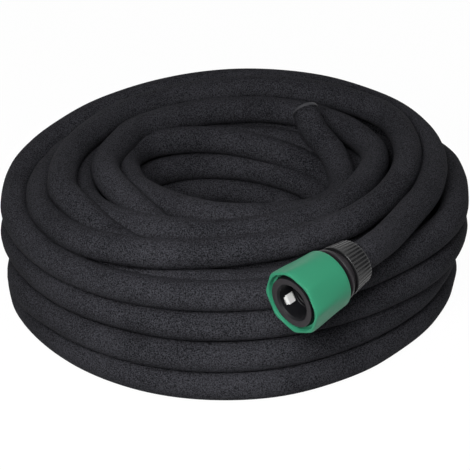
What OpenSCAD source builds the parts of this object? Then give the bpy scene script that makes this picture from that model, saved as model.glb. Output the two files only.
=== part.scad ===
// Soaker hose: a hand coil of porous rubber hose, with a snap-on tap connector
// on its outer end and a stopper in its inner end. Millimetres, +Z up.

/* [Hose] */
// Outside diameter of the hose
hose_od = 17; // [15:0.5:18]
// Thickness of the hose's wall
hose_wall = 2.15; // [1.8:0.05:2.4]

/* [Coil] */
// Radius of the outermost turn, to the middle of the hose
coil_r = 132; // [125:1:140]
// Turns side by side in each full layer
coil_columns = 5; // [4:1:6]
// Full layers of the coil
coil_layers = 4; // [3:1:4]
// How far the bundle fills the grooves between its turns
groove_fill = 6; // [5:0.5:7]

/* [Connector place] */
// How far the clamp nut's rear face stands out from the outermost turn
connector_out = 13.6; // [13:0.1:20]
// Height of its middle above the full layers
connector_rise = 12; // [11:0.5:20]
// Where it is around the coil
connector_place = -64.4; // [-70:0.1:-60]
// Heading of the connector's mouth, seen from above
connector_heading = 224.2; // [220:0.1:230]
// How far the mouth dips below level
connector_dip = 8.6; // [0:0.1:10]

/* [Socket] */
// Radius of the waterway
waterway_r = 5.6; // [4.5:0.1:6]
// Radius of the bore that the tap's nipple seals in
nipple_r = 7.3; // [7:0.1:7.6]
// Length of the nipple's bore
nipple_length = 9; // [6:0.5:10]
// Radius of the wide bore behind the mouth
mouth_r = 9.4; // [9:0.1:9.6]
// Depth of the wide bore, with its mouth chamfer
mouth_depth = 11; // [10.8:0.1:12]
// Chamfer on the mouth of the bore
mouth_chamfer = 1.3; // [0.4:0.1:1.6]
// Thickness of the wall around the spigot
barrel_wall = 2; // [1.6:0.1:2.2]
// Thickness of the nose's wall around the wide bore
nose_wall = 5; // [4.8:0.1:5.4]
// Length of the socket, from its rear end to its nose
socket_length = 30.3; // [30:0.1:31]

/* [Lock claws] */
// Number of lock claws
claw_count = 3; // [2:1:3]
// Width of a claw around the bore
claw_width = 5.2; // [4:0.1:5.4]
// Length of a claw along the bore
claw_length = 6.6; // [6:0.1:6.8]
// How far behind the nose a claw's front is
claw_set_back = 4; // [3.6:0.1:4.2]
// How far a claw's tooth stands into the wide bore
claw_bite = 0.75; // [0.3:0.05:1]
// Radius of the heel that a claw turns on
heel_r = 0.6; // [0.5:0.05:0.8]
// Angle of the first claw around the connector
claw_angle = -63; // [-90:1:0]

/* [Lock sleeve] */
// Wall of the sleeve around the flange
sleeve_wall = 1.5; // [1.3:0.05:2]
// How much wider the sleeve's front is than its rear, in radius
sleeve_flare = 1.4; // [0.8:0.1:1.6]
// Length of the sleeve
sleeve_length = 27.7; // [27:0.1:28]
// Depth of the flats on the sleeve's front
flat_depth = 0.5; // [0.2:0.1:0.6]
// Number of flats around the sleeve
flat_count = 8; // [6:1:10]
// How far the sleeve's rim stands in front of the nose
rim_reach = 0.3; // [0.1:0.1:1]
// How far the sleeve pulls back
sleeve_travel = 4; // [3:0.5:4]
// Thickness of the ring inside the sleeve that its spring pushes on
shoulder_t = 2; // [1.5:0.1:2.5]

/* [Hose tail and clamp] */
// Thickness of the flange
flange_t = 1.6; // [1:0.1:2]
// Wall of the barb that the hose is pushed over
barb_wall = 1.6; // [1.4:0.1:1.8]
// Wall of the spigot that plugs into the socket
spigot_wall = 4.7; // [4.4:0.1:5]
// Length of the spigot
spigot_length = 5.6; // [5:0.1:6]
// Wall of the threaded skirt over the hose
skirt_wall = 3.1; // [3:0.1:3.3]
// Length of the clamp nut
nut_length = 12.5; // [12:0.5:13.5]
// Bare neck between the nut and the flange
neck_length = 3.4; // [3:0.1:4]
// Wall of the nut around the hose, at its rear
nut_wall = 4.2; // [4:0.1:4.6]
// How much wider the nut's front is than its rear, in radius
nut_flare = 1.8; // [1.6:0.1:2.2]
// Number of grip ribs around the nut
rib_count = 40; // [24:4:44]
// Depth of the grooves between the ribs
rib_depth = 0.6; // [0.3:0.1:0.8]
// Width of the grooves between the ribs
rib_gap = 1; // [0.6:0.1:1.1]
// Width of the slit in the clamp ring
slit_width = 1.6; // [1:0.1:2.5]
// Wall of the clamp ring at its thin rear edge
clamp_edge = 0.85; // [0.8:0.05:1]
// How much thicker the clamp ring is at its front
clamp_taper = 2; // [1.6:0.1:2.2]

/* [Springs and seals] */
// Radius of the sleeve spring's wire
spring_wire_r = 0.4; // [0.3:0.05:0.45]
// Coils of the sleeve spring
spring_coils = 6; // [5:1:7]
// Radius of the body seal's section
seal_wire_r = 0.9; // [0.7:0.05:1]
// Thickness of the flow disc
disc_t = 1.6; // [1:0.1:2]
// Radius of the hole in the flow disc
disc_hole_r = 1.2; // [0.8:0.1:2]

/* [End plug] */
// How far the plug's flange stays inside the hose's outside
plug_inset = 0.2; // [0.1:0.1:1]
// Thickness of the plug's flange
plug_t = 2; // [1.5:0.1:3]
// Height of the raised middle of the flange
plug_button = 0.8; // [0.4:0.1:1.2]
// Length of the plug's stem inside the hose
stem_length = 16; // [10:1:20]

/* [Hidden] */
$fn = 96;

running = 0.1;        // between parts that slide or turn on each other
loose = 0.4;          // between parts that only pass each other
touch = 0.05;         // between parts that seat on each other
swing_room = 0.8;     // in front of a claw, for its swing
claw_sink = 0.5;      // a claw's back below the nose's outside
lip_depth = 2.8;      // the recess in the sleeve's mouth, behind the nose's front
coil_y = 17;        // the coil sits back, because the connector reaches past its front

// Radii that follow from the hose and the bores
hose_r = hose_od / 2;
hose_bore = hose_od - 2 * hose_wall;
barb_r = hose_bore / 2 - 0.45;
ridge_r = hose_bore / 2 + 0.25;
barb_bore_r = barb_r - barb_wall;
over_hose = hose_r + 0.6;
skirt_r = over_hose + skirt_wall;
nut_rear_r = hose_r + nut_wall;
nut_front_r = nut_rear_r + nut_flare;
flange_r = nut_front_r + 0.5;
spigot_r = waterway_r + spigot_wall;
barrel_r = spigot_r + touch + barrel_wall;
nose_r = mouth_r + nose_wall;
cam_r = nose_r + 0.25;
rear_skirt_r = max(flange_r + 0.15, cam_r);
sleeve_rear_r = rear_skirt_r + sleeve_wall;
sleeve_front_r = sleeve_rear_r + sleeve_flare;

// Places along the connector's axis, from the nut's rear face towards the mouth
flange_z = nut_length + neck_length;
hose_stop_z = flange_z - 0.4;
disc_z = flange_z + flange_t;
socket_z = disc_z + 0.2;
nose_z = socket_z + socket_length;
rim_z = nose_z + rim_reach;
sleeve_z = rim_z - sleeve_length;
spigot_end_z = disc_z + spigot_length;
mouth_z = nose_z - mouth_depth;
nipple_z = mouth_z - nipple_length;
claw_z = nose_z - claw_set_back - claw_length;
ridge_t = 0.5;
ridge_z = claw_z - loose - ridge_t;
shoulder_z = ridge_z - running - shoulder_t;
skirt_rear_z = nut_length - 5;
collet_front_z = skirt_rear_z - 0.2;
collet_rear_z = 1.8;

// Where the connector is: it and the hose's routes keep their places on the coil
rear_r = coil_r + connector_out;
nut_rear = [
    rear_r * cos(connector_place),
    rear_r * sin(connector_place),
    coil_layers * hose_od + connector_rise
];
mouth_axis = [
    cos(connector_dip) * cos(connector_heading),
    cos(connector_dip) * sin(connector_heading),
    -sin(connector_dip)
];
// The hose's outer end, from the clamp nut round to where it sinks into the coil:
// angle, radius and height of each point, about the coil's axis
lead_route = [
    [-52, -0.03, 4.65], [-43, -0.53, 4.56], [-32, -0.85, 4.53], [-20, -0.91, 4.5],
    [-8, -0.88, 4.5], [4, -0.74, 4.5], [16, -0.53, 4.53], [28, -0.32, 4.59], [40, -0.09, 4.62],
    [52, 0.06, 4.65], [64, 0.15, 4.71], [76, 0.21, 4.71], [88, 0.15, 4.71], [100, -0.09, 4.71],
    [112, -0.26, 4.65], [124, -0.38, 4.56], [136, -0.41, 4.44], [148, -0.41, 4.29],
    [160, -0.26, 4.12], [172, -0.15, 3.97], [184, -0.09, 3.82], [196, 0.03, 3.71]
];

// The hose's inner end, from where it climbs out of the coil to the end plug
tail_route = [
    [60, -3.76, 3.41], [80, -3.94, 3.71], [100, -3.94, 3.94], [120, -3.88, 4.12],
    [140, -3.76, 4.24], [160, -3.76, 4.29], [180, -3.97, 4.29], [200, -4.12, 4.29],
    [220, -4.18, 4.32], [240, -4.15, 4.35], [260, -4.06, 4.32], [280, -4, 4.29],
    [300, -4.06, 4.12], [320, -4.06, 3.94], [340, -3.97, 3.88], [357, -3.97, 3.94],
    [373, -3.94, 4.09], [387, -3.88, 4.38], [397, -3.94, 4.68], [404.5, -3.88, 4.97],
    [410.5, -3.68, 5.29]
];
tube_sides = 12;

// Degrees around the coil, then hose diameters beyond its outermost turn and above the floor
function route_r(s) = coil_r + s[1] * hose_od;
function around_coil(s) =
    [route_r(s) * cos(s[0]), route_r(s) * sin(s[0]) + coil_y, s[2] * hose_od];
function unit(v) = v / norm(v);
function on_axis(z) = nut_rear + [0, coil_y, 0] + mouth_axis * z;

// Direction of a path at point i, from its neighbours
function heading(path, i) =
    unit(path[min(i + 1, len(path) - 1)] - path[max(i - 1, 0)]);

// One ring of points square to the path, at radius r
function ring(path, i, r) =
    let (
        along = heading(path, i),
        side = unit(cross(along, [0, 0, 1])),
        up = cross(side, along)
    )
    [for (k = [0 : tube_sides - 1])
        path[i] + r * (side * cos(k * 360 / tube_sides) + up * sin(k * 360 / tube_sides))];

// A hollow tube swept along a path: outer rings, then inner rings
module tube(path) {
    n = len(path);
    m = tube_sides;
    outer = [for (i = [0 : n - 1]) each ring(path, i, hose_od / 2)];
    inner = [for (i = [0 : n - 1]) each ring(path, i, hose_bore / 2)];
    function id(wall, i, k) = wall * n * m + i * m + k % m;
    walls = [for (i = [0 : n - 2], k = [0 : m - 1]) each [
        [id(0, i, k), id(0, i, k + 1), id(0, i + 1, k + 1), id(0, i + 1, k)],
        [id(1, i, k), id(1, i + 1, k), id(1, i + 1, k + 1), id(1, i, k + 1)]
    ]];
    ends = [for (k = [0 : m - 1]) each [
        [id(0, 0, k), id(1, 0, k), id(1, 0, k + 1), id(0, 0, k + 1)],
        [id(0, n - 1, k), id(0, n - 1, k + 1), id(1, n - 1, k + 1), id(1, n - 1, k)]
    ]];
    polyhedron(points = concat(outer, inner), faces = concat(walls, ends), convexity = 10);
}

lead_path = concat(
    [for (z = [hose_stop_z, hose_stop_z / 2, 0, -hose_r]) on_axis(z)],
    [for (s = lead_route) around_coil(s)]
);
tail_path = [for (s = tail_route) around_coil(s)];

module at_connector() {
    translate(on_axis(0)) rotate([0, 90 + connector_dip, connector_heading]) children();
}

module ring_of(r_out, r_in, z0, z1) {
    translate([0, 0, z0]) difference() {
        cylinder(r = r_out, h = z1 - z0);
        translate([0, 0, -1]) cylinder(r = r_in, h = z1 - z0 + 2);
    }
}

module torus(r_major, r_minor, z) {
    translate([0, 0, z]) rotate_extrude() translate([r_major, 0]) circle(r = r_minor);
}

// ---- hose ----

function column_r(c) = coil_r - c * hose_od;
function layer_z(l) = (l + 0.5) * hose_od;
top_columns = [2, 3];

module coil_profile() {
    for (l = [0 : coil_layers - 1], c = [0, coil_columns - 1])
        translate([column_r(c), layer_z(l)]) circle(d = hose_od);
    for (c = [1 : coil_columns - 2], l = [0, coil_layers - 1])
        translate([column_r(c), layer_z(l)]) circle(d = hose_od);
    for (c = top_columns)
        translate([column_r(c), layer_z(coil_layers)]) circle(d = hose_od);
    inner = column_r(coil_columns - 1) - groove_fill;
    translate([inner, hose_od / 2 - groove_fill])
        square([coil_r + groove_fill - inner, (coil_layers - 1) * hose_od + 2 * groove_fill]);
    translate([column_r(3) - groove_fill, layer_z(coil_layers - 1)])
        square([hose_od + 2 * groove_fill, hose_od + groove_fill]);
}

module hose_coil() {
    color("#33353a") translate([0, coil_y, 0]) rotate_extrude($fn = 120) coil_profile();
}

module hose_lead() { color("#33353a") tube(lead_path); }

module hose_tail() { color("#33353a") tube(tail_path); }

// The stopper pushed into the hose's inner end
module end_plug() {
    last = len(tail_path) - 1;
    dir = heading(tail_path, last);
    plug_r = hose_r - plug_inset;
    barbs = floor(stem_length / 4);
    color("#1d1e20") translate(tail_path[last])
        rotate([0, acos(dir[2]), atan2(dir[1], dir[0])]) {
            cylinder(r = plug_r, h = plug_t);
            cylinder(r = plug_r - 2, h = plug_t + plug_button);
            translate([0, 0, -stem_length]) cylinder(r = barb_r, h = stem_length);
            for (i = [1 : barbs])
                translate([0, 0, -i * stem_length / (barbs + 0.5)])
                    cylinder(r1 = barb_r, r2 = ridge_r, h = 2);
        }
}

// ---- socket and lock ----

module socket_body() {
    window = [nose_wall + 2, claw_width + loose, claw_length + loose + swing_room];
    color("#1f2022") at_connector() difference() {
        union() {
            translate([0, 0, socket_z]) cylinder(r = barrel_r, h = socket_length - 2);
            translate([0, 0, claw_z - loose]) cylinder(r = nose_r, h = nose_z - claw_z + loose);
            translate([0, 0, ridge_z]) cylinder(r = nose_r + 0.15, h = ridge_t + touch);
        }
        translate([0, 0, socket_z - 1])
            cylinder(r = spigot_r + touch, h = spigot_end_z - socket_z + 1.2);
        translate([0, 0, socket_z]) cylinder(r = waterway_r, h = socket_length + 1);
        translate([0, 0, nipple_z]) cylinder(r = nipple_r, h = socket_length);
        translate([0, 0, mouth_z]) cylinder(r = mouth_r, h = socket_length);
        translate([0, 0, nose_z - mouth_chamfer])
            cylinder(r1 = mouth_r, r2 = mouth_r + mouth_chamfer, h = mouth_chamfer + 0.01);
        for (i = [0 : claw_count - 1])
            rotate([0, 0, claw_angle + i * 360 / claw_count])
                translate([mouth_r - 1, -window[1] / 2, claw_z - loose]) cube(window);
    }
}

// A claw turns on its rounded heel and swings its tooth out of the bore
module lock_claw(i) {
    outer = nose_r - claw_sink;
    back = mouth_r + 0.3;
    tooth = mouth_r - claw_bite;
    if (i < claw_count)
        color("#dfe1e0") at_connector() rotate([0, 0, claw_angle + i * 360 / claw_count])
            translate([0, claw_width / 2, claw_z]) rotate([90, 0, 0])
                linear_extrude(claw_width) {
                    polygon([
                        [outer - heel_r, 0], [outer - heel_r, heel_r], [outer, heel_r],
                        [outer, claw_length], [back, claw_length],
                        [tooth, claw_length * 0.8], [tooth, claw_length * 0.2], [back, 0]
                    ]);
                    translate([outer - heel_r, heel_r]) circle(r = heel_r);
                }
}
module lock_claw_1() { lock_claw(0); }
module lock_claw_2() { lock_claw(1); }
module lock_claw_3() { lock_claw(2); }

module lock_sleeve() {
    lip_r = nose_r + 1.35;
    skirt_depth = sleeve_travel - (sleeve_z - disc_z) + 0.4;
    edge = 0.6;
    color("#3f9c74") at_connector() difference() {
        union() {
            translate([0, 0, sleeve_z])
                cylinder(r1 = sleeve_rear_r, r2 = sleeve_front_r, h = sleeve_length - edge);
            translate([0, 0, rim_z - edge])
                cylinder(r1 = sleeve_front_r, r2 = sleeve_front_r - edge, h = edge);
        }
        for (i = [0 : flat_count - 1])
            rotate([0, 0, (i + 0.5) * 360 / flat_count])
                translate([sleeve_front_r - flat_depth, -sleeve_front_r, sleeve_z + 7])
                    cube([flat_depth + 1, 2 * sleeve_front_r, sleeve_length]);
        translate([0, 0, sleeve_z - 1]) cylinder(r = cam_r, h = sleeve_length + 2);
        translate([0, 0, sleeve_z - 1]) cylinder(r = rear_skirt_r, h = 1 + skirt_depth);
        translate([0, 0, nose_z - lip_depth])
            cylinder(r1 = lip_r, r2 = lip_r + 0.4, h = rim_reach + lip_depth + 0.01);
    }
    color("#3f9c74") at_connector()
        ring_of(cam_r + 0.5, barrel_r + running, shoulder_z, shoulder_z + shoulder_t);
}

// The coil spring that pushes the sleeve forward
module sleeve_spring() {
    wire = spring_wire_r;
    r = barrel_r + 2 * wire;
    z0 = disc_z + touch;
    height = shoulder_z - touch - z0 - 2 * wire;
    turn = 16;
    steps = spring_coils * turn;
    function wire_point(i, k) =
        let (a = i * 360 / turn, w = k * 60, q = r + wire * cos(w))
        [q * cos(a), q * sin(a), z0 + wire + height * i / steps + wire * sin(w)];
    points = [for (i = [0 : steps], k = [0 : 5]) wire_point(i, k)];
    sides = [for (i = [0 : steps - 1], k = [0 : 5])
        [i * 6 + k, i * 6 + (k + 1) % 6, (i + 1) * 6 + (k + 1) % 6, (i + 1) * 6 + k]];
    caps = [[for (k = [0 : 5]) 5 - k], [for (k = [0 : 5]) steps * 6 + k]];
    color("#b9bcbf") at_connector()
        polyhedron(points = points, faces = concat(caps, sides), convexity = 10);
}

// ---- hose tail and clamp ----

seal_z = disc_z + spigot_length / 2;

module tail_body() {
    ridges = 4;
    ridge_step = (skirt_rear_z + 4.5) / ridges;
    color("#1f2022") at_connector() difference() {
        union() {
            translate([0, 0, 2]) cylinder(r = barb_r, h = flange_z);
            for (i = [0 : ridges - 1])
                translate([0, 0, 2.5 + i * ridge_step])
                    cylinder(r1 = barb_r - 0.2, r2 = ridge_r, h = 2);
            ring_of(skirt_r, over_hose, skirt_rear_z, flange_z + 0.1);
            translate([0, 0, hose_stop_z]) cylinder(r = skirt_r, h = 1);
            ring_of(skirt_r + 0.6, skirt_r - 0.5, nut_length + 0.3, flange_z + 0.4);
            translate([0, 0, flange_z]) cylinder(r = flange_r, h = flange_t);
            translate([0, 0, flange_z]) cylinder(r = spigot_r, h = spigot_end_z - flange_z);
        }
        cylinder(r = barb_bore_r, h = spigot_end_z + 1);
        translate([0, 0, spigot_end_z - disc_t - 0.5]) cylinder(r = waterway_r + 1, h = 10);
        torus(spigot_r, seal_wire_r, seal_z);
    }
}

module body_seal() {
    color("#101112") at_connector() difference() {
        torus(spigot_r, seal_wire_r, seal_z);
        ring_of(spigot_r + 5, spigot_r + touch, seal_z - 3, seal_z + 3);
    }
}

module flow_disc() {
    color("#c9cbc8") at_connector()
        ring_of(waterway_r + 0.9, disc_hole_r, spigot_end_z - disc_t - 0.5, spigot_end_z - 0.5);
}

// The split cone that the nut squeezes onto the hose
clamp_r = hose_r + running;
clamp_front_r = clamp_r + clamp_edge + clamp_taper;

module clamp_ring() {
    color("#2a2b2d") at_connector() difference() {
        translate([0, 0, collet_rear_z])
            cylinder(r1 = clamp_r + clamp_edge, r2 = clamp_front_r,
                h = collet_front_z - collet_rear_z);
        cylinder(r = clamp_r, h = nut_length);
        translate([0, -slit_width / 2, 0]) cube([nut_front_r, slit_width, nut_length]);
    }
}

module clamp_nut() {
    slope = atan(nut_flare / nut_length);
    color("#1f2022") at_connector() difference() {
        cylinder(r1 = nut_rear_r, r2 = nut_front_r, h = nut_length);
        translate([0, 0, -1]) cylinder(r = over_hose, h = nut_length + 2);
        translate([0, 0, collet_rear_z - running])
            cylinder(r1 = clamp_r + clamp_edge + running, r2 = clamp_front_r + running,
                h = collet_front_z - collet_rear_z + running);
        translate([0, 0, collet_front_z - 0.01])
            cylinder(r = skirt_r + touch, h = nut_length);
        for (i = [0 : rib_count - 1])
            rotate([0, 0, i * 360 / rib_count])
                translate([nut_rear_r - rib_depth, -rib_gap / 2, -1])
                    rotate([0, slope, 0]) cube([rib_depth + 2, rib_gap, nut_length]);
    }
}

hose_coil();
hose_lead();
hose_tail();
end_plug();
socket_body();
tail_body();
body_seal();
flow_disc();
lock_sleeve();
sleeve_spring();
lock_claw_1();
lock_claw_2();
lock_claw_3();
clamp_ring();
clamp_nut();
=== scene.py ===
import math

import bpy
import numpy as np
from mathutils import Matrix, Vector


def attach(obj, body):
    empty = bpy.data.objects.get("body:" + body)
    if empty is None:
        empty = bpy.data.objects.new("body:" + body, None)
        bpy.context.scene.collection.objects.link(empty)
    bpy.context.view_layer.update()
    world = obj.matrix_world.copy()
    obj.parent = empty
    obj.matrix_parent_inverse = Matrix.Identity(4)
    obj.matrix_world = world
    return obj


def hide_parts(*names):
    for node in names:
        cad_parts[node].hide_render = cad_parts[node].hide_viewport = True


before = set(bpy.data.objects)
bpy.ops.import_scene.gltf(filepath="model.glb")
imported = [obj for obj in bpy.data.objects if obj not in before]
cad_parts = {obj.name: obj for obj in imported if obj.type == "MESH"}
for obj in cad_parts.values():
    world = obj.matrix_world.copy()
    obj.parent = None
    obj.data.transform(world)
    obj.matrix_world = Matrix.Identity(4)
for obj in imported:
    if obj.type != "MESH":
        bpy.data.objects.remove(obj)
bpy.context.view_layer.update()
MM = 0.001
COIL_Y = 17.0          # the coil's axis, behind the origin
HOSE_D = 17.0


def around(turn, radius, height):
    """A point about the coil's axis: degrees, mm, mm."""
    a = math.radians(turn)
    return Vector((radius * math.cos(a), radius * math.sin(a) + COIL_Y, height))


# ---- camera ----

CAM_TILT = 26.0
CAM_REACH = 1050.0
AIM = Vector((0.0, COIL_Y, 31.5))
tilt = math.radians(CAM_TILT)
cam_data = bpy.data.cameras.new("camera")
cam_data.lens = 132.1
cam_data.sensor_width = 36.0
cam = bpy.data.objects.new("camera", cam_data)
bpy.context.scene.collection.objects.link(cam)
cam.location = (AIM + CAM_REACH * Vector((0, -math.cos(tilt), math.sin(tilt)))) * MM
cam.rotation_euler = (math.radians(90 - CAM_TILT), 0, 0)
bpy.context.scene.camera = cam

# ---- the connector's frame ----

NUT_REAR = around(-64.4, 145.6, 80)
HEADING = 224.2
DIP = 8.6
to_world = (
    Matrix.Rotation(math.radians(HEADING), 4, "Z")
    @ Matrix.Rotation(math.radians(90 + DIP), 4, "Y")
)
MOUTH = (to_world @ Vector((0, 0, 1))).normalized()


def on_axis(z):
    return NUT_REAR + MOUTH * z


# ---- the hose's route ----

# The outer end: out of the clamp nut and over the coil to the left side
LEAD = [
    (-52, 131.5, 79), (-43, 123, 77.5), (-32, 117.5, 77), (-20, 116.5, 76.5), (-8, 117, 76.5),
    (4, 119.5, 76.5), (16, 123, 77), (28, 126.5, 78), (40, 130.5, 78.5), (52, 133, 79),
    (64, 134.5, 80), (76, 135.5, 80), (88, 134.5, 80), (100, 130.5, 80), (112, 127.5, 79),
    (124, 125.5, 77.5), (136, 125, 75.5), (148, 125, 73), (160, 127.5, 70), (172, 129.5, 67.5),
    (184, 130.5, 65), (196, 132.5, 63),
]
# The turns that show, as measured stations: degrees, radius and height
OUTER = [
    (210, 133.5, 61), (225, 134.5, 60), (240, 134.5, 59.5), (255, 133.5, 59.5),
    (270, 131, 59.5), (285, 128.5, 59.5), (300, 127, 59.5), (315, 125, 59.5),
    (330, 127, 59.5), (345, 130.5, 60), (360, 132, 60), (370, 135, 60), (382, 139.5, 59.5),
    (398, 138, 59.5), (415, 134.5, 59), (435, 132, 55), (455, 132, 48), (475, 132, 43), (500, 132, 42.5),
    (540, 132, 42.5), (565, 132, 42.5), (590, 134, 42.5), (615, 135, 42.5), (632, 132.5, 42.5),
    (650, 129, 42.5), (668, 127, 42.5), (691, 129, 42.5), (720, 132, 42.5), (750, 132, 38),
    (780, 132, 30), (805, 132, 25.5), (860, 132, 25.5), (920, 133, 25.5), (946, 135.5, 25.5),
    (966, 138, 25.5), (983, 138, 25.5), (1000, 134.5, 25.5), (1018, 128, 25.5),
    (1036, 124, 25.5), (1053, 123, 25.5), (1080, 127, 25.5), (1110, 131, 25.5),
    (1140, 132, 17), (1170, 132, 9), (1200, 132, 8.5), (1250, 130, 8.5), (1275, 130, 8.5),
    (1292, 131, 8.5), (1312, 134.5, 8.5), (1330, 138, 8.5), (1345, 138.5, 8.5),
    (1361, 136, 8.5), (1381, 129, 8.5), (1396, 124.5, 8.5), (1412, 123.5, 8.5),
    (1431, 125, 8.5), (1450, 128, 8.5),
]
TOP = [
    (65, 104, 60), (90, 101, 60.5), (115, 102, 63), (140, 106, 67.5),
    (160, 109.5, 71), (170, 110, 71), (180, 113, 71), (190, 116, 71), (200, 119, 71),
    (210, 121.5, 71.5), (220, 123.5, 72), (230, 125, 73.5), (240, 124, 75), (250, 120, 75),
    (260, 114, 75), (270, 110, 75.5), (285, 105.5, 76), (300, 102.5, 77), (310, 101.5, 78),
    (320, 99.5, 78.5), (330, 99, 79), (340, 99.5, 80), (350, 101, 81), (360, 103, 82),
    (370, 105.5, 83), (380, 108.5, 84), (390, 112.5, 84), (400, 114.5, 84), (410, 115, 84),
    (420, 116, 83.5), (430, 117, 83), (440, 117, 82.5), (450, 115, 82), (460, 111.5, 81.5),
    (470, 107.5, 82), (480, 103, 82), (490, 100, 83), (505, 96, 83.5), (520, 94, 84.5),
    (530, 95.5, 84.5), (540, 98, 84.5), (550, 101.5, 85), (560, 106, 85), (567, 110, 84.5),
    (576, 110.5, 82), (585, 110.5, 77), (595, 110.5, 71), (605, 107, 65.5), (615, 102, 61),
    (628, 98, 59.5), (660, 98, 59.5), (690, 98, 59.5), (720, 91, 60), (750, 83, 60),
    (790, 83, 60.5), (830, 87, 61.5), (850, 89.5, 65), (870, 91, 69), (885, 90.5, 71),
    (900, 89.5, 72), (920, 93, 73), (930, 96, 74), (940, 98, 75), (950, 98, 75.5),
    (960, 95.5, 75.5), (970, 93.5, 76), (980, 92.5, 76), (990, 90, 76.5), (1005, 86, 76.5),
    (1020, 82.5, 77), (1035, 80, 77), (1055, 78.5, 77), (1070, 80, 77), (1080, 83, 77),
    (1090, 86, 77), (1100, 88, 77), (1120, 91, 77), (1130, 93, 76.5), (1140, 95, 76.5),
    (1150, 94.5, 76.5), (1160, 93, 77), (1170, 90.5, 77), (1180, 88, 77.5), (1190, 84.5, 78),
    (1200, 81, 79), (1210, 78.5, 80), (1220, 77, 81), (1230, 75, 82), (1240, 73, 82.5),
    (1250, 73, 83), (1260, 75, 83), (1270, 77.5, 83), (1280, 79, 82.5), (1292, 79, 80.5),
    (1305, 79, 76), (1315, 79.5, 71), (1325, 80, 66), (1335, 81, 62), (1345, 81, 59.5),
    (1365, 81, 53), (1385, 81, 46), (1410, 81, 42.5),
]
# The inner end: up out of the hole's wall, once round the top, and up to the stopper
INNER = [
    (0, 69, 50), (20, 72, 50), (40, 72, 52), (50, 70, 55), (60, 68, 58), (80, 65, 63),
    (100, 65, 67), (120, 66, 70), (140, 70, 71.5), (160, 69, 72.5), (180, 64.5, 73),
    (200, 62, 73), (220, 60.5, 73.5), (240, 61.5, 74), (260, 63, 73.5), (280, 64, 73),
    (300, 62.5, 70), (320, 63, 67), (340, 64.5, 66), (357, 64.5, 67),
    (373, 65, 69.5), (387, 66, 74.5), (397, 65, 79.5), (404.5, 66, 84.5), (410.5, 69.5, 90),
]
# Turns inside the bundle: the home of each, as a layer and a column
COLUMN_R = [132, 115, 98, 81, 64]
FIRST_HOMES = [(0, 1), (0, 2), (1, 2), (1, 1), (2, 1), (3, 1)]
LATER_HOMES = [(2, 3), (2, 2), (1, 3), (0, 3), (0, 4)]
# How far round the hose has gone where the raised turns start
RAISED = 3600
# The hole's wall climbs at the back: degrees, radius, height
WALL = [
    (-40, 64, 10), (-10, 64, 14), (20, 64, 20), (50, 64, 26), (90, 64, 32), (120, 64, 36),
    (150, 64, 39), (200, 64, 40), (270, 64, 40), (330, 64, 40), (390, 64, 42), (420, 64, 45.5),
    (450, 64, 49), (480, 64, 52.5), (510, 64, 55), (560, 64, 57), (630, 64, 57), (680, 65, 54),
]
# How the bundle leans at the front, as the outermost turns do: degrees and mm
LEAN = [(0, -5), (30, 0), (195, -2), (232, 2), (255, 5), (280, 3), (300, -3), (316, -8),
        (340, -9), (360, -5)]
LEAN_SHARE = [1, 0.9, 0.7, 0.45, 0.2]


def ease(share):
    """0 to 1 with a soft start and end."""
    share = min(max(share, 0.0), 1.0)
    return share * share * (3 - 2 * share)


def home(turn, layer, column):
    lean = np.interp(turn % 360, [a for a, _ in LEAN], [d for _, d in LEAN])
    return np.array([COLUMN_R[column] + lean * LEAN_SHARE[column], (layer + 0.5) * HOSE_D])


def homes(start, places, end, swap=60, step=15):
    """Stations of turns that each stay in a home and swap to the next one in `swap` degrees."""
    stations = []
    for n, place in enumerate(places):
        first = start + n * 360
        for turn in range(first, min(first + 360, end), step):
            at = home(turn, *place)
            left = first + 360 - turn
            if n + 1 < len(places) and left < swap:
                at = at + (home(turn, *places[n + 1]) - at) * ease(1 - left / swap)
            stations.append((turn, *at))
    return stations


def shifted(stations, by):
    return [(a + by, r, z) for a, r, z in stations]


def whole_route():
    stations = LEAD + OUTER
    stations += homes(1505, FIRST_HOMES, end=3640)
    stations += shifted(TOP, RAISED)
    stations += homes(RAISED + 1470, LATER_HOMES, end=6785)
    stations += shifted(WALL, RAISED + 3240)
    stations += shifted(INNER, RAISED + 3960)
    start = [on_axis(z) for z in (15.5, 7.75, 0, -5, -10)]
    return start + [around(*s) for s in stations]


def smooth(points, step):
    """Points along a centripetal spline through `points`, `step` apart."""
    p = np.array([tuple(q) for q in points])
    p = np.vstack([2 * p[0] - p[1], p, 2 * p[-1] - p[-2]])
    fine = []
    for i in range(1, len(p) - 2):
        knots = np.cumsum([0] + [np.linalg.norm(p[i + k] - p[i + k - 1]) ** 0.5 for k in range(3)])
        t0, t1, t2, t3 = knots
        for t in np.linspace(t1, t2, 8, endpoint=False):
            a1 = (t1 - t) / (t1 - t0) * p[i - 1] + (t - t0) / (t1 - t0) * p[i]
            a2 = (t2 - t) / (t2 - t1) * p[i] + (t - t1) / (t2 - t1) * p[i + 1]
            a3 = (t3 - t) / (t3 - t2) * p[i + 1] + (t - t2) / (t3 - t2) * p[i + 2]
            b1 = (t2 - t) / (t2 - t0) * a1 + (t - t0) / (t2 - t0) * a2
            b2 = (t3 - t) / (t3 - t1) * a2 + (t - t1) / (t3 - t1) * a3
            fine.append((t2 - t) / (t2 - t1) * b1 + (t - t1) / (t2 - t1) * b2)
    fine.append(p[-2])
    fine = np.array(fine)
    run = np.concatenate([[0], np.cumsum(np.linalg.norm(np.diff(fine, axis=0), axis=1))])
    at = np.linspace(0, run[-1], int(round(run[-1] / step)) + 1)
    return np.stack([np.interp(at, run, fine[:, k]) for k in range(3)], axis=1)


ROUTE_STEP = 5.5
route = smooth(whole_route(), ROUTE_STEP)

# ---- materials ----


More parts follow.
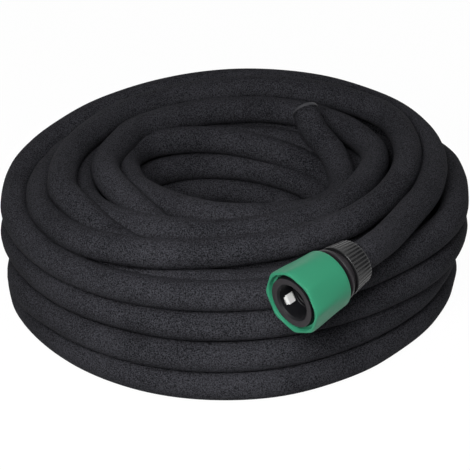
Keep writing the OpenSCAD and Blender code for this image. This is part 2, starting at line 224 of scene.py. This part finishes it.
class Sock:
    """A shader socket that adds, multiplies and so on by making Math nodes."""

    def __init__(self, tree, socket):
        self.tree, self.socket = tree, socket

    def _math(self, operation, *values):
        node = self.tree.nodes.new("ShaderNodeMath")
        node.operation = operation
        for place, value in zip(node.inputs, values):
            if isinstance(value, Sock):
                self.tree.links.new(value.socket, place)
            else:
                place.default_value = value
        return Sock(self.tree, node.outputs[0])

    def __add__(self, other):
        return self._math("ADD", self, other)

    def __sub__(self, other):
        return self._math("SUBTRACT", self, other)

    def __mul__(self, other):
        return self._math("MULTIPLY", self, other)

    def __truediv__(self, other):
        return self._math("DIVIDE", self, other)

    __radd__ = __add__
    __rmul__ = __mul__

    def over(self, edge, soft):
        """0 below the edge, 1 above it, over a soft step."""
        return self._math("SMOOTH_MIN", self._math("MAXIMUM", (self - edge) / soft, 0.0), 1.0, 0.1)


class Paint:
    """One material: a node tree with a Principled shader."""

    def __init__(self, name, colour, roughness, **constants):
        self.material = bpy.data.materials.new(name)
        self.material.use_nodes = True
        self.tree = self.material.node_tree
        self.shader = next(n for n in self.tree.nodes if n.type == "BSDF_PRINCIPLED")
        self.shader.inputs["Base Color"].default_value = (*colour, 1)
        self.shader.inputs["Roughness"].default_value = roughness
        for key, value in constants.items():
            self.shader.inputs[key.replace("_", " ")].default_value = value

    def node(self, kind, output=0, settings=(), **inputs):
        made = self.tree.nodes.new("ShaderNode" + kind)
        for key, value in dict(settings).items():
            setattr(made, key, value)
        for key, value in inputs.items():
            place = made.inputs[key.replace("_", " ")]
            if isinstance(value, Sock):
                self.tree.links.new(value.socket, place)
            else:
                place.default_value = value
        return Sock(self.tree, made.outputs[output])

    def feed(self, name, value):
        self.tree.links.new(value.socket, self.shader.inputs[name])

    def place(self):
        return self.node("TexCoord", "Object")

    def noise(self, scale, detail=2.0, roughness=0.5):
        return self.node("TexNoise", 0, Vector=self.place(), Scale=scale, Detail=detail,
                         Roughness=roughness)

    def mix(self, share, low, high):
        mixer = self.tree.nodes.new("ShaderNodeMix")
        mixer.data_type = "RGBA"
        self.tree.links.new(share.socket, mixer.inputs[0])
        for spot, value in ((6, low), (7, high)):
            if isinstance(value, Sock):
                self.tree.links.new(value.socket, mixer.inputs[spot])
            else:
                mixer.inputs[spot].default_value = (*value, 1)
        return Sock(self.tree, mixer.outputs[2])

    def bump(self, height, strength, distance):
        self.feed("Normal", self.node("Bump", 0, Strength=strength, Distance=distance,
                                      Height=height))


def make_hose_paint():
    paint = Paint("porous_rubber", (0.04, 0.04, 0.045), 0.85, Specular_IOR_Level=0.02)
    grain = paint.noise(1400, 3.0, 0.75)
    crumbs = paint.node("TexVoronoi", 0, Vector=paint.place(), Scale=900.0)
    patches = paint.noise(28, 2.0)
    share = (grain - 0.5) * 5.5 + (patches - 0.5) * 0.7 + 0.48
    colour = paint.mix(share.over(0.0, 1.0), (0.006, 0.006, 0.007), (0.045, 0.045, 0.052))
    paint.feed("Base Color", colour)
    paint.feed("Roughness", 0.62 + grain * 0.3)
    paint.bump(grain * 0.8 + crumbs * 0.5, 0.8, 0.0006)
    return paint.material


def make_plastic(name, colour, roughness, grain=0.04, **constants):
    paint = Paint(name, colour, roughness, **constants)
    speck = paint.noise(420, 2.0)
    paint.feed("Roughness", (speck - 0.5) * (grain * 4) + roughness)
    paint.bump(speck, 0.06, 0.0002)
    return paint.material


HOSE = make_hose_paint()
GREEN = make_plastic("green_plastic", (0.027, 0.2, 0.11), 0.42, Specular_IOR_Level=0.14)
GREY = make_plastic("grey_plastic", (0.015, 0.013, 0.015), 0.4, Specular_IOR_Level=0.22)
BLACK = make_plastic("black_plastic", (0.008, 0.008, 0.0085), 0.26, Specular_IOR_Level=0.36)
# Painted shade: a near-black paint for the nut's rib grooves and the inside of the socket's bore, where
# shade falls on plastic that is the same as the rest of the part
SHADE_BLACK = make_plastic("painted_shade_black", (0.004, 0.004, 0.005), 0.5, Specular_IOR_Level=0.15)
PALE = make_plastic("pale_plastic", (0.55, 0.55, 0.54), 0.45)
PLUG = make_plastic("stopper_plastic", (0.03, 0.03, 0.034), 0.6, Specular_IOR_Level=0.25)
SEAL = make_plastic("seal_rubber", (0.012, 0.012, 0.012), 0.6)
STEEL = make_plastic("spring_steel", (0.6, 0.6, 0.6), 0.3, Metallic=1.0)
for node, paint in {
    "hose_coil": HOSE, "hose_lead": HOSE, "hose_tail": HOSE, "end_plug": BLACK,
    "socket_body": GREY, "tail_body": GREY, "body_seal": SEAL, "flow_disc": PALE,
    "lock_sleeve": GREEN, "sleeve_spring": STEEL, "lock_claw_1": PALE, "lock_claw_2": PALE,
    "lock_claw_3": PALE, "clamp_ring": BLACK, "clamp_nut": BLACK,
}.items():
    cad = bpy.data.objects.get(node)
    if cad is None:
        continue
    cad.data.materials.clear()
    cad.data.materials.append(paint)


# ---- meshes ----


def make(name, points, faces, paint, body, smooth_angle=None):
    mesh = bpy.data.meshes.new(name)
    mesh.from_pydata([tuple(c * MM for c in p) for p in points], [], faces)
    mesh.materials.append(paint)
    mesh.polygons.foreach_set("use_smooth", [True] * len(mesh.polygons))
    if smooth_angle:
        mesh.set_sharp_from_angle(angle=math.radians(smooth_angle))
    mesh.validate()
    obj = bpy.data.objects.new(name, mesh)
    bpy.context.scene.collection.objects.link(obj)
    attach(obj, body)
    return obj


def grid_faces(rows, columns, closed_rows=False):
    last = rows if closed_rows else rows - 1
    return [
        (i * columns + k, i * columns + (k + 1) % columns,
         (i + 1) % rows * columns + (k + 1) % columns, (i + 1) % rows * columns + k)
        for i in range(last) for k in range(columns)
    ]


def turned(profile, steps, shape=None):
    """Rings of a closed profile of (z, r), about the connector's axis."""
    points = []
    for n, (z, r) in enumerate(profile):
        for k in range(steps):
            a = 2 * math.pi * k / steps
            q = r if shape is None else shape(n, z, r, a)
            points.append(on_axis(z) + to_world @ Vector((q * math.cos(a), q * math.sin(a), 0)))
    return points, grid_faces(len(profile), steps, closed_rows=True)


def rounded(corners, steps=4):
    """A closed profile whose corners are (z, r, fillet radius)."""
    out = []
    count = len(corners)
    for i, (z, r, fillet) in enumerate(corners):
        here = Vector((z, r))
        before = Vector(corners[i - 1][:2]) - here
        after = Vector(corners[(i + 1) % count][:2]) - here
        cut = min(fillet, before.length * 0.45, after.length * 0.45)
        if cut < 0.02:
            out.append((z, r))
            continue
        start, end = here + before.normalized() * cut, here + after.normalized() * cut
        for k in range(steps + 1):
            t = k / steps
            p = start * (1 - t) ** 2 + here * 2 * t * (1 - t) + end * t ** 2
            out.append((p.x, p.y))
    return out


# ---- the hose ----

SIDES = 20


def tube(path, radius):
    along = np.gradient(path, axis=0)
    along /= np.linalg.norm(along, axis=1)[:, None]
    side = np.cross(along, [0, 0, 1])
    side /= np.linalg.norm(side, axis=1)[:, None]
    up = np.cross(side, along)
    points = []
    for centre, s, u in zip(path, side, up):
        for k in range(SIDES):
            a = 2 * math.pi * k / SIDES
            points.append(centre + radius * (math.cos(a) * s + math.sin(a) * u))
    return points


hose_points = tube(route, HOSE_D / 2)
hose_faces = grid_faces(len(route), SIDES)
hose_faces.append(tuple(range(SIDES))[::-1])
hose_faces.append(tuple((len(route) - 1) * SIDES + k for k in range(SIDES)))
hose = make("hose", hose_points, hose_faces, HOSE, "hose_and_connector")
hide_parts("hose_coil", "hose_lead", "hose_tail")

# ---- the connector's pieces ----

FLANGE_Z, DISC_Z, SPIGOT_END = 15.9, 17.5, 23.1
CLAW_Z, NOSE_Z, RIM_Z, SLEEVE_Z = 37.4, 48.0, 48.3, 20.6
MOUTH_Z, NIPPLE_Z = 37.0, 28.0
CLAW_TURN = -63
NUT_STEPS = 400


def sleeve_shape(_, z, r, a):
    """Eight soft lobes that fade out towards the rear."""
    if r < 15.9 + 0.02 * (z - SLEEVE_Z) or z > RIM_Z + 1:
        return r
    return r + ease((z - 24) / 22) * (0.45 * math.cos(8 * a) + 0.08 * math.cos(16 * a) - 0.05)


def rib_shape(_, z, r, a):
    """Forty ribs with rounded tops."""
    if r < 12.4 or z < 0.3 or z > 12.1:
        return r
    wave = math.cos(40 * a)
    return r - 0.7 * ease(0.3 + 0.9 * wave) * min(1, (z - 0.3) / 0.5, (12.1 - z) / 0.5)


sleeve_profile = rounded([
    (SLEEVE_Z, 15.15, 0.2), (SLEEVE_Z, 16.65, 0.9), (24, 16.8, 0), (28, 17, 0),
    (33, 17.3, 0), (38, 17.6, 0), (43, 17.85, 0), (46.3, 18, 0), (RIM_Z, 17.75, 1.3),
    (RIM_Z, 16.3, 0.6), (46, 15.85, 0), (45.3, 15.75, 0.3), (45.2, 14.65, 0.3),
    (36.4, 14.65, 0.1), (36.4, 12.45, 0.2), (34.4, 12.45, 0.2), (34.4, 14.65, 0.1),
    (22, 14.65, 0.1), (21.9, 15.15, 0.1),
])
points, faces = turned(sleeve_profile, 128, sleeve_shape)
sleeve = make("release_sleeve", points, faces, GREEN, "sleeve", 35)
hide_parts("lock_sleeve")

nut_profile = rounded([
    (0, 9.1, 0.2), (0, 12.5, 0.7), (0.8, 12.8, 0), (1.3, 12.88, 0), (11.6, 14.37, 0),
    (12.1, 14.44, 0), (12.5, 14.3, 0.5), (12.5, 12.35, 0.3), (7.4, 12.35, 0), (7.3, 11.55, 0),
    (1.8, 9.55, 0), (1.7, 9.1, 0),
])
points, faces = turned(nut_profile, NUT_STEPS, rib_shape)
nut = make("clamp_nut_ribbed", points, faces, BLACK, "nut", 50)
# Painted shade: the faces in the ribs' grooves take the near-black painted-shade material, darker than
# the nut's own black plastic
nut.data.materials.append(SHADE_BLACK)
for face in nut.data.polygons:
    row, step = divmod(face.index, NUT_STEPS)
    if 3 < row < 12 and not 0.1 < (step + 0.5) / 10 % 1 < 0.9:
        face.material_index = 1
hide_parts("clamp_nut")

tail_profile = [(2, 4.3), (2, 5.9)]
for step in range(4):
    z = 2.5 + step * 3
    tail_profile += [(z, 5.9), (z, 5.9), (z + 2, 6.6), (z + 2.01, 5.9)]
tail_profile += [(15.5, 5.9), (15.5, 9.1), (7.5, 9.1)]
tail_profile += rounded([
    (7.5, 12.2, 0.4), (12.8, 12.2, 0), (12.8, 12.8, 0.1), (FLANGE_Z, 12.8, 0.2),
    (FLANGE_Z, 15, 0.5), (DISC_Z, 15, 0.5), (DISC_Z, 10.3, 0.1),
])[:-1]
tail_profile += [
    (DISC_Z, 10.3), (19.5, 10.3), (19.7, 9.55), (20.3, 9.35), (20.9, 9.55), (21.1, 10.3),
    (SPIGOT_END, 10.3), (SPIGOT_END, 6.6), (21, 6.6), (21, 4.3),
]
points, faces = turned(tail_profile, 96)
tail = make("hose_tail_body", points, faces, GREY, "hose_and_connector", 30)
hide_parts("tail_body")


to_socket = to_world.to_3x3().transposed()


def socket_mesh():
    """The nose, barrel and bores, with an opening in the wall for each claw."""
    front, back = CLAW_Z - 0.4, 44.8
    outer = [(17.7, 10.35), (17.7, 12.35), (36.5, 12.35), (36.5, 14.5), (front, 14.5),
             (front + 0.1, 14.4), (back, 14.4)]
    nose = rounded([(NOSE_Z, 14.4, 0.9), (NOSE_Z, 10.75, 0.35), (46.65, 9.4, 0.25)])
    inner = [(back, 9.4), (front + 0.1, 9.4), (front, 9.4), (MOUTH_Z + 0.3, 9.4),
             (MOUTH_Z, 9.2), (MOUTH_Z, 7.6), (MOUTH_Z - 0.4, 7.3), (NIPPLE_Z, 7.3),
             (NIPPLE_Z, 5.6), (23.3, 5.6), (23.3, 10.35)]
    profile = outer + nose[1:] + inner
    steps = 180
    points, faces = turned(profile, steps)
    # Half the angle of a claw's opening: 2.8 mm at a radius of 12 mm
    half = math.degrees(2.8 / 12)
    top, bottom = outer.index((front + 0.1, 14.4)), profile.index((back, 9.4))
    kept = []
    for face in faces:
        row, k = face[0] // steps, face[0] % steps
        off = (k * 360 / steps + 1 - CLAW_TURN + 60) % 120 - 60
        if row in (top, bottom) and abs(off) < half:
            continue
        kept.append(face)
    for claw in range(3):
        cells = [k for k in range(steps)
                 if abs((k * 2 + 1 - CLAW_TURN - claw * 120 + 180) % 360 - 180) < half]
        cells.sort(key=lambda k: (k * 2 - CLAW_TURN - claw * 120 + 180) % 360)
        first, last = cells[0], (cells[-1] + 1) % steps
        loop = [(top, first), (top + 1, first), (bottom, first), (bottom + 1, first)]
        kept.append(tuple(r * steps + k for r, k in loop))
        kept.append(tuple(r * steps + last for r, _ in reversed(loop)))
        for k in cells:
            n = (k + 1) % steps
            kept.append((top * steps + n, top * steps + k,
                         (bottom + 1) * steps + k, (bottom + 1) * steps + n))
            kept.append(((top + 1) * steps + k, (top + 1) * steps + n,
                         bottom * steps + n, bottom * steps + k))
    return points, kept


points, faces = socket_mesh()
socket = make("socket_body_bored", points, faces, GREY, "hose_and_connector", 30)
# Painted shade: faces inside the bore, behind the nose's front face, take the near-black painted-shade
# material instead of the socket's grey plastic
socket.data.materials.append(SHADE_BLACK)
for face in socket.data.polygons:
    at = [to_socket @ (Vector(socket.data.vertices[v].co) / MM - NUT_REAR)
          for v in face.vertices]
    if sum(p.z for p in at) / len(at) < 47.5:
        face.material_index = 1
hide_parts("socket_body")

# The stopper in the hose's inner end
plug_at = Vector(route[-1])
plug_dir = Vector(route[-1] - route[-4]).normalized()
plug_turn = plug_dir.to_track_quat("Z", "Y")
plug_profile = rounded([
    (-15.8, 0.02, 0), (-15.8, 5.6, 0.6), (-0.02, 5.9, 0), (-0.02, 8.3, 0.1), (0.2, 8.35, 0),
    (2, 8.3, 0.7), (2.05, 6.9, 0.2), (1.7, 6.6, 0.15), (1.7, 6.1, 0.1), (2.8, 5.9, 0.5),
    (2.75, 0.02, 0),
])
PLUG_STEPS = 64
plug_points, plug_faces = [], grid_faces(len(plug_profile), PLUG_STEPS, closed_rows=True)
for z, r in plug_profile:
    for k in range(PLUG_STEPS):
        a = 2 * math.pi * k / PLUG_STEPS
        plug_points.append(plug_at + plug_turn @ Vector((r * math.cos(a), r * math.sin(a), z)))
plug = make("stopper", plug_points, plug_faces, PLUG, "hose_and_connector", 35)
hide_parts("end_plug")

# ---- floor, light ----


def seen_rays(tree):
    """1 for what the camera sees, straight or in a reflection, and 0 for light on the object."""
    rays = tree.nodes.new("ShaderNodeLightPath")
    seen = Sock(tree, rays.outputs["Is Camera Ray"])
    for kind in ("Is Glossy Ray", "Is Transmission Ray"):
        seen = seen._math("MAXIMUM", seen, Sock(tree, rays.outputs[kind]))
    return seen


floor_mesh = bpy.data.meshes.new("floor")
floor_mesh.from_pydata([(-4, -4, 0), (4, -4, 0), (4, 4, 0), (-4, 4, 0)], [], [(0, 1, 2, 3)])
floor = bpy.data.objects.new("floor", floor_mesh)
bpy.context.scene.collection.objects.link(floor)
floor_paint = Paint("floor", (0.45, 0.45, 0.45), 0.9)
glow = floor_paint.tree.nodes.new("ShaderNodeEmission")
glow.inputs["Strength"].default_value = 1.05
blend = floor_paint.tree.nodes.new("ShaderNodeMixShader")
ends = next(n for n in floor_paint.tree.nodes if n.type == "OUTPUT_MATERIAL")
floor_paint.tree.links.new((seen_rays(floor_paint.tree) * 0.93).socket, blend.inputs[0])
floor_paint.tree.links.new(floor_paint.shader.outputs[0], blend.inputs[1])
floor_paint.tree.links.new(glow.outputs[0], blend.inputs[2])
floor_paint.tree.links.new(blend.outputs[0], ends.inputs[0])
floor_mesh.materials.append(floor_paint.material)


def lamp(name, at, size, power, towards=(0, 0, 0.04)):
    data = bpy.data.lights.new(name, "AREA")
    data.shape = "DISK"
    data.size = size
    data.energy = power
    obj = bpy.data.objects.new(name, data)
    bpy.context.scene.collection.objects.link(obj)
    obj.location = at
    obj.rotation_euler = (Vector(towards) - Vector(at)).to_track_quat("-Z", "Y").to_euler()
    return obj


key = lamp("key", (-0.13, -0.64, 0.46), 0.34, 6.5)
key.visible_camera = False
lamp("top", (0.25, -0.7, 1.5), 1.0, 3.6)
lamp("fill", (0.75, -1.1, 0.5), 1.0, 1.1)
lamp("back", (0.4, 1.4, 0.35), 1.2, 1)

world = bpy.data.worlds.new("studio")
bpy.context.scene.world = world
world.use_nodes = True
tree = world.node_tree
tree.nodes.clear()
dome = tree.nodes.new("ShaderNodeBackground")
dome.inputs["Color"].default_value = (0.04, 0.04, 0.043, 1)
white = tree.nodes.new("ShaderNodeBackground")
white.inputs["Color"].default_value = (1, 1, 1, 1)
chosen = tree.nodes.new("ShaderNodeMixShader")
out = tree.nodes.new("ShaderNodeOutputWorld")
tree.links.new(seen_rays(tree).socket, chosen.inputs[0])
tree.links.new(dome.outputs[0], chosen.inputs[1])
tree.links.new(white.outputs[0], chosen.inputs[2])
tree.links.new(chosen.outputs[0], out.inputs[0])
bpy.context.scene.view_settings.view_transform = "Standard"

tuple(on_axis(0) * MM)
